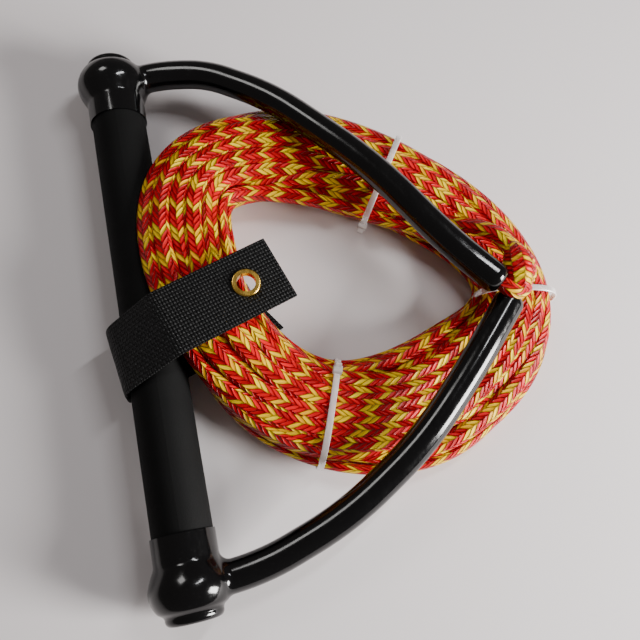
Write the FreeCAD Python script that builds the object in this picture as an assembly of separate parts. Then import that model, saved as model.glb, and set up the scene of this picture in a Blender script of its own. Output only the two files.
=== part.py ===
import FreeCAD, Part
import math
import os

# Tow rope handle: a padded bar between two moulded arms, with its tow line coiled
# and tied beside it. Millimetres, +Y along the bar, +X from the bar to the apex where
# the arms meet, +Z up, everything lying on the plane z = 0. The origin is under the
# middle of the handle's own footprint.

# ---- driving dimensions ----
TUBE_R = 11.1              # aluminium core tube
TUBE_WALL = 1.6
GRIP_R = 16.0              # padded grip, one hand's clasp
GRIP_HALF = 134.0          # half length of the padded grip
CAP_Y = 151.0              # middle of the bar to the centre of a cap
CAP_R = 21.5               # round belly of a cap; the bar lies this high
BELLY_HALF = 14.5          # half length of the belly along the bar
COLLAR_R = 17.0            # thin collar over the end of the grip
COLLAR_REACH = 27.0        # cap centre to the mouth of the collar
NOSE_R = 15.0              # blunt nose on the outer side of a cap
NOSE_REACH = 16.0
ARM_R = 8.75               # moulded arm
ARM_BORE_R = 5.1           # hole down the arm
ROPE_R = 4.5               # tow line and bridle, 9 mm hollow braid
KNOT_R = 7.6               # stopper knot of the bridle inside a cap
SPLICE_R = 6.8             # bunched splice at the apex
RUN_GAP = 0.05             # radial running clearance of the bar in the caps
WEB_WIDE = 38.0            # strap webbing
WEB_THICK = 2.0
STRAP_TURN = 18.0          # degrees the strap lies off square to the bar
TAB_TURN = 15.5            # further turn of the strap's lower end
EYELET_BORE_R = 5.25
EYELET_FLANGE_R = 8.0
TIE_WIDE = 3.7
TIE_THICK = 1.3
LAYING_GAP = 0.3           # kept between soft pieces that lie against each other

BAR_Z = CAP_R
LAID_OFF = 5.0             # arms, strap and coil are laid out from a point this far short of mid-bar
TUBE_HALF = GRIP_HALF + 6.0

# Corners of each arm's centre line: out from the bar axis, along the bar, above the axis.
UPPER_ARM = [(0, CAP_Y - LAID_OFF, 0), (28, 150, 2), (58, 142.5, 8.5), (94, 114, 17.5), (142, 52, 28),
             (172, -4, 32.6), (195.6, -35.4, 33.5)]
LOWER_ARM = [(0, -CAP_Y - LAID_OFF, 0), (38, -154, 2.5), (86, -138.5, 10), (132, -110.5, 17), (168, -77.5, 21.8),
             (203.3, -40.6, 25.1)]
# The bridle goes on from each arm's mouth into the splice.
UPPER_TAIL = [(200.5, -41.5, 33.4), (209.5, -38, 30.8), (211.5, -30, 29.2)]
LOWER_TAIL = [(208.2, -35.2, 26.4), (211, -30, 27.6)]
SPLICE_AT = (211.5, -26, 28.5)
# Corners of the lead from the splice into the coil.
LEAD_ROUTE = [(211, -18.9, 28.5), (209, -6, 27.5), (199, 5, 22), (184, 16, 9)]

# Coil, station by station round the ring: out from the bar axis, along the bar, width
# of the bundle, its height, its underside, and how far its top leans outwards.
COIL = [(29, 22, 54, 47, 3, 0.30), (41, 72, 56, 42, 1, 0.15), (97, 86, 70, 36, -1, 0),
        (157, 58, 60, 35, -1, 0), (204, 14, 50, 34, -1, 0), (218, -31, 46, 34, -1, 0),
        (196, -77, 56, 31, -1, 0), (148, -93, 78, 27, -1, 0), (101, -83, 80, 27, -1, 0),
        (61, -60, 66, 35, 0, 0.10), (39, -24, 55, 45, 3, 0.25)]
COIL_POWER = 2.6           # squareness of the bundle's section
COIL_TURNS = 31
TURN_AREA = 49.5           # section of one turn pressed flat in the bundle

# Ties: place round the ring in stations, and where the head sits round the section.
TIES = {"tie_top": (2.97, 185), "tie_right": (5.05, 215), "tie_bottom": (8.15, 157)}

# Strap, seen from its edge: distance along it from the bar axis, height above ground.
STRAP_Y = -27.4            # where its middle crosses the bar
STRAP_TOP_Z = 50.6         # underside of the top layer over the coil
HINGE_S = 34.0             # crease that the free end turns on
FLAP_END_S = 79.0
EYELET_S = 58.0
LOWER_END_S = 74.0         # end of the lower layer, in the coil's hole
STRAP_BENDS = [(10, 12), (-25.4, 13), (-25.4, 13)]   # place and radius of its three bends
PATCH_THICK = 0.8

# The footprint runs from the strap's bend round the bar to the splice.
LEFT_REACH = ((WEB_THICK / 2 - STRAP_BENDS[1][0]) * math.cos(math.radians(STRAP_TURN))
              + WEB_WIDE / 2 * math.sin(math.radians(STRAP_TURN)))
BAR_X = (LEFT_REACH - SPLICE_AT[0] - SPLICE_R) / 2


def from_bar(point):
    """A point given from the bar axis, put in the part's frame."""
    return FreeCAD.Vector(BAR_X + point[0], LAID_OFF + point[1], BAR_Z + point[2])


def bar_cylinder(radius, low, high):
    return Part.makeCylinder(radius, high - low, FreeCAD.Vector(BAR_X, low, BAR_Z),
                             FreeCAD.Vector(0, 1, 0))


def rounded_route(spots, name=""):
    """Straight runs joined by tangent arcs, each arc reaching 0.45 down its shorter run.

    Gives a list of runs (start, end) and bends (start, end, centre, axis, degrees)."""
    pieces, last, tightest, length = [], spots[0], 1e9, 0.0
    for before, corner, after in zip(spots, spots[1:], spots[2:]):
        into, out_of = corner - before, after - corner
        cut = 0.45 * min(into.Length, out_of.Length)
        turn = into.getAngle(out_of)
        radius = cut / math.tan(turn / 2)
        tightest = min(tightest, radius)
        axis = into.cross(out_of).normalize()
        start, end = corner - into.normalize() * cut, corner + out_of.normalize() * cut
        centre = start + axis.cross(into).normalize() * radius
        pieces.append((last, start))
        pieces.append((start, end, centre, axis, math.degrees(turn)))
        length += (start - last).Length + radius * turn
        last = end
    pieces.append((last, spots[-1]))
    length += (spots[-1] - last).Length
    if name:
        print("%s: length %.1f mm, tightest bend %.1f mm" % (name, length, tightest))
    return pieces


def tube_along(route, radius):
    """Round solid along a route: a cylinder for each run, a ring segment for each bend."""
    solids = []
    heading = (route[0][1] - route[0][0]).normalize()
    for piece in route:
        if len(piece) == 2:
            heading = (piece[1] - piece[0]).normalize()
            solids.append(Part.makeCylinder(radius, (piece[1] - piece[0]).Length, piece[0], heading))
        else:
            start, end, centre, axis, degrees = piece
            disc = Part.Face(Part.Wire(Part.makeCircle(radius, start, heading)))
            solids.append(disc.revolve(centre, axis, degrees))
    return solids[0].multiFuse(solids[1:])


def ball(radius, centre):
    """Sphere whose seam faces away from the arms."""
    sphere = Part.makeSphere(radius)
    sphere.Placement = FreeCAD.Placement(centre, FreeCAD.Rotation(FreeCAD.Vector(0, 0, 1), 180))
    return sphere


def rings_at(shape, y):
    return [e for e in shape.Edges if e.Closed and abs(e.CenterOfMass.y - y) < 0.01]


# ---- bar ----
def make_core_tube():
    return bar_cylinder(TUBE_R, -TUBE_HALF, TUBE_HALF).cut(
        bar_cylinder(TUBE_R - TUBE_WALL, -TUBE_HALF, TUBE_HALF))


def make_grip():
    grip = bar_cylinder(GRIP_R, -GRIP_HALF, GRIP_HALF)
    return grip.cut(bar_cylinder(TUBE_R, -GRIP_HALF, GRIP_HALF))


def make_plug(side):
    """Flanged plug that closes an end of the core tube."""
    inside, mouth = side * (TUBE_HALF - 14), side * TUBE_HALF
    stem = bar_cylinder(TUBE_R - TUBE_WALL, min(inside, mouth), max(inside, mouth))
    rim = side * (TUBE_HALF + 1.5)
    return stem.fuse(bar_cylinder(TUBE_R, min(mouth, rim), max(mouth, rim))).removeSplitter()


# ---- arms and bridle ----
def make_cap(centre, out):
    """Collar, belly and blunt nose, turned as one smooth profile about the bar."""
    side = out.y
    belly_in = COLLAR_REACH - 13.0        # the collar swells into the belly from here
    swell = [(COLLAR_R, -belly_in), (COLLAR_R + 0.9, -BELLY_HALF + 3.6), (CAP_R - 1.0, -5.2), (CAP_R, 0.6),
             (CAP_R - 1.2, 5.4), (NOSE_R + 2.4, 9.6), (NOSE_R, BELLY_HALF - 2.3)]
    spots = [FreeCAD.Vector(centre.x + r, centre.y + side * t, centre.z) for r, t in swell]
    curve = Part.BSplineCurve()
    along_bar = FreeCAD.Vector(0, side, 0)
    curve.interpolate(Points=spots, InitialTangent=along_bar, FinalTangent=FreeCAD.Vector(-0.2, side, 0))
    mouth = FreeCAD.Vector(centre.x + COLLAR_R, centre.y - side * COLLAR_REACH, centre.z)
    rim = FreeCAD.Vector(centre.x + NOSE_R, centre.y + side * (NOSE_REACH - 3.0), centre.z)
    corner = FreeCAD.Vector(centre.x + NOSE_R - 3.0, centre.y + side * NOSE_REACH, centre.z)
    bend = FreeCAD.Vector(rim.x - 3.0 * (1 - math.sqrt(0.5)), rim.y + side * 3.0 * math.sqrt(0.5), centre.z)
    middle_in = FreeCAD.Vector(centre.x, mouth.y, centre.z)
    middle_out = FreeCAD.Vector(centre.x, corner.y, centre.z)
    edges = [Part.LineSegment(middle_in, mouth).toShape(), Part.LineSegment(mouth, spots[0]).toShape(),
             curve.toShape(), Part.LineSegment(spots[-1], rim).toShape(), Part.Arc(rim, bend, corner).toShape(),
             Part.LineSegment(corner, middle_out).toShape(), Part.LineSegment(middle_out, middle_in).toShape()]
    face = Part.Face(Part.Wire(edges))
    # the seam of the turned surface starts on the far side from the arm
    face.rotate(centre, FreeCAD.Vector(0, 1, 0), 180)
    return face.revolve(centre, FreeCAD.Vector(0, 1, 0), 360)


def at_root(edge, cap, arm):
    """True for the seam where an arm leaves the belly of its cap."""
    low, high = edge.FirstParameter, edge.LastParameter
    spots = [Part.Vertex(edge.valueAt(low + (high - low) * k / 4.0)) for k in range(5)]
    return all(p.distToShape(skin)[0] < 0.02 for p in spots for skin in (cap.Shells[0], arm.Shells[0]))


def make_arm(corners, side):
    """One seamless moulding: cap, collar, nose and arm, bored for rope and bar."""
    spots = [from_bar(p) for p in corners]
    centre, tip = spots[0], spots[-1]
    route = rounded_route(spots, "arm")
    arm = tube_along(route, ARM_R)
    arm = arm.makeFillet(6.0, [e for e in arm.Edges if e.Closed and (e.CenterOfMass - tip).Length < 0.1])
    cap = make_cap(centre, FreeCAD.Vector(0, side, 0))
    solid = cap.fuse(arm)
    solid = solid.makeFillet(5.0, [e for e in solid.Edges if at_root(e, cap, arm)])
    floor, sleeve_end = side * (TUBE_HALF + 2.0), side * (GRIP_HALF + 0.5)
    journal = bar_cylinder(TUBE_R + RUN_GAP, min(0, floor), max(0, floor))
    sleeve = bar_cylinder(GRIP_R + RUN_GAP, min(0, sleeve_end), max(0, sleeve_end))
    pocket = ball(KNOT_R + 0.8, centre)
    for tool in (journal, sleeve, tube_along(route, ARM_BORE_R), pocket):
        solid = solid.cut(tool)
    return solid


def make_bridle_leg(corners, tail):
    """Rope from its stopper knot in the cap, down the arm and out to the splice."""
    spots = [from_bar(p) for p in corners + tail]
    route = rounded_route(spots, "bridle leg")
    knot = ball(KNOT_R, spots[0])
    return tube_along(route, ROPE_R).fuse(knot)


# ---- coil and lead ----
def ring_section(place, grow=0.0):
    """Centre, outward direction and sizes of the bundle at a place round the ring."""
    count = len(COIL)
    low = int(math.floor(place))
    t = place - low
    rows = [COIL[(low + k) % count] for k in (-1, 0, 1, 2)]
    pick = []
    slope = []
    for a, b, c, d in zip(*rows):
        pick.append(0.5 * (2 * b + (c - a) * t + (2 * a - 5 * b + 4 * c - d) * t * t
                           + (3 * b - a - 3 * c + d) * t ** 3))
        slope.append(0.5 * ((c - a) + 2 * (2 * a - 5 * b + 4 * c - d) * t
                            + 3 * (3 * b - a - 3 * c + d) * t * t))
    along = FreeCAD.Vector(slope[0], slope[1], 0).normalize()
    outward = FreeCAD.Vector(-along.y, along.x, 0)
    x, y, wide, high, under, lean = pick
    centre = FreeCAD.Vector(BAR_X + x, LAID_OFF + y, under + high / 2.0)
    return centre, along, outward, wide / 2.0 + grow, high / 2.0 + grow, lean


def section_wire(place, grow=0.0, sides=24):
    """Rounded section of the bundle, leaning outwards with height."""
    centre, along, outward, wide, high, lean = ring_section(place, grow)
    spots = []
    for k in range(sides):
        a = 2 * math.pi * k / sides
        c, s = math.cos(a), math.sin(a)
        u = wide * math.copysign(abs(c) ** (2 / COIL_POWER), c)
        v = high * math.copysign(abs(s) ** (2 / COIL_POWER), s)
        spots.append(centre + outward * (u + lean * v) + FreeCAD.Vector(0, 0, v))
    curve = Part.BSplineCurve()
    curve.interpolate(Points=spots, PeriodicFlag=True)
    return Part.Wire(curve.toShape())


def ground_box():
    return Part.makeBox(800, 800, 200, FreeCAD.Vector(-400, -400, 0))


def make_coil(cutters):
    """Outer shape of the coiled line, hollowed where other pieces press into it."""
    sections = [section_wire(k) for k in range(len(COIL))]
    coil = Part.makeLoft(sections, True, False, True)
    coil = coil.common(ground_box())
    for tool in cutters:
        coil = coil.cut(tool)
    return coil


def ring_length():
    steps = 440
    spots = [ring_section(len(COIL) * k / float(steps))[0] for k in range(steps + 1)]
    return sum((b - a).Length for a, b in zip(spots, spots[1:]))


def make_lead():
    """Line from the splice into the coil."""
    return tube_along(rounded_route([from_bar(p) for p in LEAD_ROUTE], "lead"), ROPE_R)


# ---- ties ----
def section_block(place, grow, width):
    """Slice of the bundle's section, of a given width along the ring."""
    along = ring_section(place)[1]
    block = Part.Face(section_wire(place, grow)).extrude(along * width)
    block.translate(along * (-width / 2.0))
    return block


def make_tie(place, head_turn, grow=0.0):
    """Flat nylon band drawn tight round the bundle, with its square head."""
    centre, along, outward, wide, high, lean = ring_section(place)
    band = section_block(place, TIE_THICK - 0.9 + grow, TIE_WIDE + 2 * grow)
    band = band.cut(section_block(place, -0.9 - grow, TIE_WIDE + 3))
    a = math.radians(head_turn)
    reach = FreeCAD.Vector(0, 0, 1) * math.sin(a) + outward * math.cos(a)
    spot = centre + outward * (0.97 * wide * math.cos(a)) + FreeCAD.Vector(0, 0, 0.97 * high * math.sin(a))
    size = 3.4 + grow
    head = Part.makeBox(2 * size, 2 * size, 2 * size, FreeCAD.Vector(-size, -size, -size))
    turn = FreeCAD.Rotation(along, reach.cross(along), reach, "ZXY")
    head.Placement = FreeCAD.Placement(spot + reach * 1.0, turn)
    if grow == 0:
        head = head.cut(section_block(place, -0.9, 20))
    return band.fuse(head).common(ground_box())


# ---- strap, drawn square to the axes and then laid across the bar ----
def lay_strap(shape):
    turn = FreeCAD.Rotation(FreeCAD.Vector(0, 0, 1), STRAP_TURN)
    laid = shape.copy()
    laid.Placement = FreeCAD.Placement(FreeCAD.Vector(BAR_X, LAID_OFF + STRAP_Y, 0), turn).multiply(laid.Placement)
    return laid


def slab(low_s, high_s, wide, low_z, high_z):
    corner = FreeCAD.Vector(low_s, -wide / 2.0, low_z)
    return Part.makeBox(high_s - low_s, wide, high_z - low_z, corner)


def round_hole(s, radius, low_z, high_z):
    return Part.makeCylinder(radius, high_z - low_z, FreeCAD.Vector(s, 0, low_z))


def bent_wire(corners, radii):
    """Straight runs in the strap's own plane, joined by tangent arcs of given radii."""
    spots = [FreeCAD.Vector(s, 0, z) for s, z in corners]
    edges, last = [], spots[0]
    for k, radius in enumerate(radii, 1):
        into = (spots[k] - spots[k - 1]).normalize()
        out_of = (spots[k + 1] - spots[k]).normalize()
        turn = into.getAngle(out_of)
        start = spots[k] - into * radius * math.tan(turn / 2)
        end = spots[k] + out_of * radius * math.tan(turn / 2)
        inward = ((start + end) * 0.5 - spots[k]).normalize()
        mid = spots[k] + inward * (radius / math.cos(turn / 2) - radius)
        edges.append(Part.LineSegment(last, start).toShape())
        edges.append(Part.Arc(start, mid, end).toShape())
        last = end
    edges.append(Part.LineSegment(last, spots[-1]).toShape())
    return Part.Wire(edges)


def strap_band(grow=0.0):
    """The fixed length of webbing: over the coil, round the grip and back beneath."""
    top, low = STRAP_TOP_Z + WEB_THICK / 2, WEB_THICK / 2
    places = [s for s, radius in STRAP_BENDS]
    corners = [(HINGE_S - LAYING_GAP, top), (places[0], top), (places[1], 32), (places[2], low),
               (LOWER_END_S + 12, low)]
    wire = bent_wire(corners, [radius for s, radius in STRAP_BENDS])
    thick, wide = WEB_THICK / 2 + grow, WEB_WIDE / 2 + grow
    s = HINGE_S - LAYING_GAP
    ends = [(s, -wide, top - thick), (s, wide, top - thick), (s, wide, top + thick), (s, -wide, top + thick)]
    outline = Part.makePolygon([FreeCAD.Vector(*p) for p in ends + ends[:1]])
    band = wire.makePipeShell([outline], True, False)
    beyond = Part.makeBox(60, 120, 20, FreeCAD.Vector(0, -60, -5))
    turn = FreeCAD.Rotation(FreeCAD.Vector(0, 0, 1), TAB_TURN)
    beyond.Placement = FreeCAD.Placement(FreeCAD.Vector(LOWER_END_S + grow, 0, 0), turn)
    return band.cut(beyond)


def make_strap_web():
    return lay_strap(strap_band())


def make_strap_flap():
    flap = slab(HINGE_S, FLAP_END_S, WEB_WIDE, STRAP_TOP_Z, STRAP_TOP_Z + WEB_THICK)
    return lay_strap(flap.cut(round_hole(EYELET_S, EYELET_BORE_R + 0.6, 0, 90)))


def make_hook_patch():
    """Closure patch under the free end, clear of the eyelet's washer."""
    patch = slab(HINGE_S + 8, FLAP_END_S - 3, WEB_WIDE - 6, STRAP_TOP_Z - PATCH_THICK, STRAP_TOP_Z)
    return lay_strap(patch.cut(round_hole(EYELET_S, EYELET_FLANGE_R + 0.4, 0, 90)))


def make_loop_patch():
    """The matching patch on the upper face of the lower layer."""
    return lay_strap(slab(38, 68, WEB_WIDE - 6, WEB_THICK, WEB_THICK + PATCH_THICK))


def make_eyelet():
    """Brass eyelet: rolled flange on top, barrel through the webbing, lip clinched below."""
    top = STRAP_TOP_Z + WEB_THICK
    flange = round_hole(EYELET_S, EYELET_FLANGE_R, top, top + 1.1)
    flange = flange.makeFillet(0.8, [e for e in flange.Edges if e.Closed and abs(e.CenterOfMass.z - top - 1.1) < 0.01])
    barrel = round_hole(EYELET_S, EYELET_BORE_R + 0.5, STRAP_TOP_Z - 1.1, top)
    lip = round_hole(EYELET_S, EYELET_BORE_R + 1.5, STRAP_TOP_Z - 1.1, STRAP_TOP_Z - 0.6)
    solid = flange.multiFuse([barrel, lip]).cut(round_hole(EYELET_S, EYELET_BORE_R, 0, 90))
    return lay_strap(solid.removeSplitter())


def make_washer():
    ring = round_hole(EYELET_S, EYELET_FLANGE_R, STRAP_TOP_Z - 0.6, STRAP_TOP_Z)
    return lay_strap(ring.cut(round_hole(EYELET_S, EYELET_BORE_R + 0.5, 0, 90)))


# ---- build ----
def build():
    parts = {"core_tube": make_core_tube(), "grip_sleeve": make_grip(),
             "plug_upper": make_plug(1), "plug_lower": make_plug(-1),
             "arm_upper": make_arm(UPPER_ARM, 1), "arm_lower": make_arm(LOWER_ARM, -1),
             "bridle_upper": make_bridle_leg(UPPER_ARM, UPPER_TAIL),
             "bridle_lower": make_bridle_leg(LOWER_ARM, LOWER_TAIL)}
    parts["bridle_upper"] = parts["bridle_upper"].cut(parts["bridle_lower"]).cut(parts["arm_lower"])
    splice = ball(SPLICE_R, from_bar(SPLICE_AT)).cut(parts["bridle_upper"])
    parts["apex_splice"] = splice.cut(parts["bridle_lower"])
    lead = make_lead()
    ties = {name: make_tie(place, turn) for name, (place, turn) in TIES.items()}
    hollows = [make_tie(place, turn, LAYING_GAP) for place, turn in TIES.values()]
    hollows += [bar_cylinder(GRIP_R + LAYING_GAP + 0.1, -120, 120), lay_strap(strap_band(LAYING_GAP)),
                lay_strap(slab(HINGE_S - 1, FLAP_END_S, WEB_WIDE + 1, STRAP_TOP_Z - 1.2, 60)),
                lay_strap(slab(37.7, 68.3, WEB_WIDE - 5.4, 0, WEB_THICK + PATCH_THICK + LAYING_GAP)), lead]
    for corners in (UPPER_ARM, LOWER_ARM):
        hollows.append(tube_along(rounded_route([from_bar(p) for p in corners]), ARM_R + LAYING_GAP + 0.1))
    coil = make_coil(hollows)
    print("coil: ring %.0f mm, %d turns, line %.1f m" % (ring_length(), COIL_TURNS,
                                                         ring_length() * COIL_TURNS / 1000))
    print("coil volume %.0f mm3, fill %.2f" % (coil.Volume, TURN_AREA * COIL_TURNS * ring_length() / coil.Volume))
    parts.update({"rope_coil": coil, "rope_lead": lead})
    parts.update(ties)
    parts.update({"strap_web": make_strap_web(), "strap_flap": make_strap_flap(),
                  "eyelet": make_eyelet(), "eyelet_washer": make_washer(),
                  "hook_patch": make_hook_patch(), "loop_patch": make_loop_patch()})
    return parts


def single(shape):
    """The one solid inside a result, with its volume checked."""
    if len(shape.Solids) != 1 or not shape.isValid():
        print("  NOT one valid solid:", len(shape.Solids), shape.isValid())
    return max(shape.Solids, key=lambda solid: solid.Volume)


os.makedirs("parts", exist_ok=True)
for name, shape in build().items():
    solid = single(shape)
    solid.exportStep("parts/%s.step" % name)
    print("%-14s %9.0f mm3" % (name, solid.Volume))
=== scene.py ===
# %% [markdown]
# A tow rope handle: a padded bar, two moulded arms that meet at an apex, and a tow line
# wound into a flat coil, held by three cable ties and by a webbing strap round the bar.
# The rigid parts come from the CAD model, which is loaded first as a fixed frame.
# The rope, the webbing and every finish are made here, in metres, in that same frame.

# %% Load the frame
import math

import bmesh
import bpy
import numpy as np
from mathutils import Matrix, Vector


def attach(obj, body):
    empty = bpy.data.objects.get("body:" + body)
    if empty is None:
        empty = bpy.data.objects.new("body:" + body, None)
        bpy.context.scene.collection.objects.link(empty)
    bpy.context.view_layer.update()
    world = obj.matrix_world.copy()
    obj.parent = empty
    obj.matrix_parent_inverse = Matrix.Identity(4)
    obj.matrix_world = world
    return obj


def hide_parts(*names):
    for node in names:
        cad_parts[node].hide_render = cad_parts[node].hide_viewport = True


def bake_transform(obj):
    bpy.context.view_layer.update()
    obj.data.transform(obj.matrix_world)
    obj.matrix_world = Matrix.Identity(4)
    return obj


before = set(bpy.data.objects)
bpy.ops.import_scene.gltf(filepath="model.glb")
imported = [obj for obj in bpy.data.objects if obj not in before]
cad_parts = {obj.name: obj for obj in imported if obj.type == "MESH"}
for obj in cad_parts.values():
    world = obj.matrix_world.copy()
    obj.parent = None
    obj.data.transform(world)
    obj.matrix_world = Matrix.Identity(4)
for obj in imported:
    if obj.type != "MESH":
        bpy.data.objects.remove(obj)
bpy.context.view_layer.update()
BAR_X = -0.0936604          # the bar's axis, off the middle of the whole handle
OFF_Y = 0.005               # arms, strap and coil are laid out from a point this far up from mid-bar
BAR_Z = 0.0215              # and its height over the ground

# %% [markdown]
# The handle lies on pale paper and is seen from above, a little from one side, as on a
# bench. Such a view is a camera placed by its own three directions rather than by angles,
# because it then needs no target object. One wide soft lamp stands for a window at the
# far right, a smaller one gives the long gloss lines, and the world fills the shadows.

# %% Camera
camera = bpy.data.objects.new("bench_camera", bpy.data.cameras.new("bench_camera"))
bpy.context.scene.collection.objects.link(camera)
camera.data.lens = 39.375
camera.data.sensor_width = 36.0
RIGHT = Vector((0.97018, -0.21379, 0.11417))
UP = Vector((0.16899, 0.93437, 0.31368))
FORWARD = Vector((0.17374, 0.28503, -0.94264))
EYE = Vector((BAR_X + 0.02487, OFF_Y - 0.14413, 0.40622))
camera.matrix_world = Matrix.Translation(EYE) @ Matrix((RIGHT, UP, -FORWARD)).transposed().to_4x4()
bpy.context.scene.camera = camera
print("camera at", [round(v, 3) for v in EYE])


# %% Floor and lamps
def lamp(name, spot, aim, size, watts, tint=(1, 1, 1)):
    data = bpy.data.lights.new(name, "AREA")
    data.shape = "RECTANGLE"
    data.size, data.size_y = size
    data.energy = watts
    data.color = tint
    made = bpy.data.objects.new(name, data)
    bpy.context.scene.collection.objects.link(made)
    turn = (Vector(aim) - Vector(spot)).to_track_quat("-Z", "Y")
    made.matrix_world = Matrix.Translation(spot) @ turn.to_matrix().to_4x4()
    return made


lamp("window", (0.90, -0.60, 0.42), (0.03, 0.0, 0.0), (0.36, 0.5), 37.0, (1.0, 0.985, 0.965))
lamp("strip", (0.36, 0.20, 0.80), (0.0, 0.0, 0.0), (0.05, 0.35), 2.6, (0.97, 0.98, 1.0))
lamp("back", (-0.5, 0.7, 1.1), (0.0, 0.0, 0.0), (0.35, 0.35), 3.0, (1.0, 0.98, 0.96))
world = bpy.data.worlds.new("room")
bpy.context.scene.world = world
world.use_nodes = True
world.node_tree.nodes["Background"].inputs["Color"].default_value = (0.90, 0.82, 0.80, 1)
world.node_tree.nodes["Background"].inputs["Strength"].default_value = 0.16

# %% [markdown]
# A finish is a network of shader nodes. Short helpers keep such a network readable: they
# start a material, add a node and wire its inputs, add a sum, mix or scale, or build a group.
# Everything that a finish varies over the surface comes from these nodes, not from pictures.


# %% Node helpers
def node(tree, kind, inputs=(), **settings):
    """A node with its settings; inputs pairs a socket with a value or another socket."""
    made = tree.nodes.new(kind)
    for name, value in settings.items():
        setattr(made, name, value)
    for socket, value in dict(inputs).items():
        if isinstance(value, bpy.types.NodeSocket):
            tree.links.new(value, made.inputs[socket])
        else:
            made.inputs[socket].default_value = value
    return made


def math_node(tree, what, a, b=0.0, c=None):
    made = node(tree, "ShaderNodeMath", {0: a, 1: b}, operation=what)
    if c is not None:
        if isinstance(c, bpy.types.NodeSocket):
            tree.links.new(c, made.inputs[2])
        else:
            made.inputs[2].default_value = c
    return made.outputs[0]


def mix_colour(tree, share, a, b, blend="MIX"):
    made = node(tree, "ShaderNodeMix", data_type="RGBA", blend_type=blend)
    for socket, value in ((0, share), (6, a), (7, b)):
        if isinstance(value, bpy.types.NodeSocket):
            tree.links.new(value, made.inputs[socket])
        else:
            made.inputs[socket].default_value = value
    return made.outputs[2]


def remap(tree, value, low, high, out_low, out_high):
    """The value scaled from one range to another and held within it."""
    return node(tree, "ShaderNodeMapRange", {0: value, 1: low, 2: high, 3: out_low, 4: out_high}).outputs[0]


def greyed(tree, value):
    """One value as a grey colour."""
    return node(tree, "ShaderNodeCombineColor", {0: value, 1: value, 2: value}).outputs[0]


def two_tones(tree, value, low, high):
    """A colour ramp between two colours."""
    made = node(tree, "ShaderNodeValToRGB", {0: value})
    for stop, colour in zip(made.color_ramp.elements, (low, high)):
        stop.color = (*colour, 1)
    return made.outputs[0]


def bumped(tree, shader, depth, height, strength=1.0):
    bump = node(tree, "ShaderNodeBump", {"Strength": strength, "Distance": depth, "Height": height})
    tree.links.new(bump.outputs[0], shader.inputs["Normal"])


def new_material(name, **constants):
    """A material with its shader; constants are set on the shader's own sockets."""
    made = bpy.data.materials.new(name)
    made.use_nodes = True
    shader = made.node_tree.nodes["Principled BSDF"]
    for socket, value in constants.items():
        shader.inputs[socket.replace("_", " ")].default_value = value
    return made, made.node_tree, shader


def new_group(name, takes, gives):
    """A shader node group with named inputs (name: default) and outputs."""
    group = bpy.data.node_groups.new(name, "ShaderNodeTree")
    for title, default in takes.items():
        kind = "NodeSocketVector" if default is None else "NodeSocketFloat"
        socket = group.interface.new_socket(title, in_out="INPUT", socket_type=kind)
        if default is not None:
            socket.default_value = default
    for title in gives:
        group.interface.new_socket(title, in_out="OUTPUT", socket_type="NodeSocketFloat")
    return group, group.nodes.new("NodeGroupInput"), group.nodes.new("NodeGroupOutput")


def use_group(tree, group, inputs):
    made = node(tree, "ShaderNodeGroup", node_tree=group)
    for socket, value in inputs.items():
        if isinstance(value, bpy.types.NodeSocket):
            tree.links.new(value, made.inputs[socket])
        else:
            made.inputs[socket].default_value = value
    return made


# %% [markdown]
# The rope is a hollow braid of thin plastic filaments. Every bundle of filaments that
# shows is a small slanted float. Floats stand in columns, one column leaning left and the
# next leaning right, so together they look like chevrons. The rope carries its own UV
# map: U runs once round it and V is the length along it in metres. The group below turns
# that into a float's number, its height and its filaments, for any rope of this kind.


# %% Braid group
braid, b_in, b_out = new_group(
    "braid", {"Round": 0.0, "Along": 0.0, "Columns": 8.0, "Float": 0.0042, "Slope": 1.25},
    ["Strand", "Column", "Height", "Filament", "Chance"])
across = math_node(braid, "MULTIPLY", b_in.outputs["Round"], b_in.outputs["Columns"])
column = math_node(braid, "FLOOR", across)
in_column = math_node(braid, "SUBTRACT", math_node(braid, "SUBTRACT", across, column), 0.5)
odd = math_node(braid, "FLOORED_MODULO", column, 2.0)
lean = math_node(braid, "MULTIPLY_ADD", odd, -2.0, 1.0)
rise = math_node(braid, "MULTIPLY", math_node(braid, "MULTIPLY", in_column, lean), b_in.outputs["Slope"])
along = math_node(braid, "DIVIDE", b_in.outputs["Along"], b_in.outputs["Float"])
place = math_node(braid, "ADD", along, math_node(braid, "MULTIPLY_ADD", odd, 0.5, rise))
strand = math_node(braid, "FLOOR", place)
in_float = math_node(braid, "SUBTRACT", place, strand)
reach = math_node(braid, "MULTIPLY", math_node(braid, "ABSOLUTE", in_column), 2.0)
narrow = math_node(braid, "MULTIPLY_ADD", math_node(braid, "POWER", reach, 2.2), -0.45, 1.0)
off_middle = math_node(braid, "MULTIPLY", math_node(braid, "SUBTRACT", in_float, 0.5), 2.0)
side = math_node(braid, "DIVIDE", off_middle, narrow)
curve = math_node(braid, "SUBTRACT", 1.0, math_node(braid, "POWER", math_node(braid, "ABSOLUTE", side), 2.2))
crown = math_node(braid, "SQRT", math_node(braid, "MAXIMUM", curve, 0.0))
taper = math_node(braid, "MULTIPLY_ADD", math_node(braid, "POWER", reach, 2.5), -0.6, 1.0)
height = math_node(braid, "MULTIPLY", crown, taper)
spot = node(braid, "ShaderNodeCombineXYZ", {0: math_node(braid, "MULTIPLY", place, 5.0),
                                            1: math_node(braid, "MULTIPLY", in_column, 0.9),
                                            2: math_node(braid, "MULTIPLY", column, 7.3)}).outputs[0]
hair = node(braid, "ShaderNodeTexNoise", {"Vector": spot, "Scale": 1.0, "Detail": 2.0, "Roughness": 0.6})
seed = node(braid, "ShaderNodeCombineXYZ", {0: strand, 1: column}).outputs[0]
chance = node(braid, "ShaderNodeTexWhiteNoise", {"Vector": seed}, noise_dimensions="2D")
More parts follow.
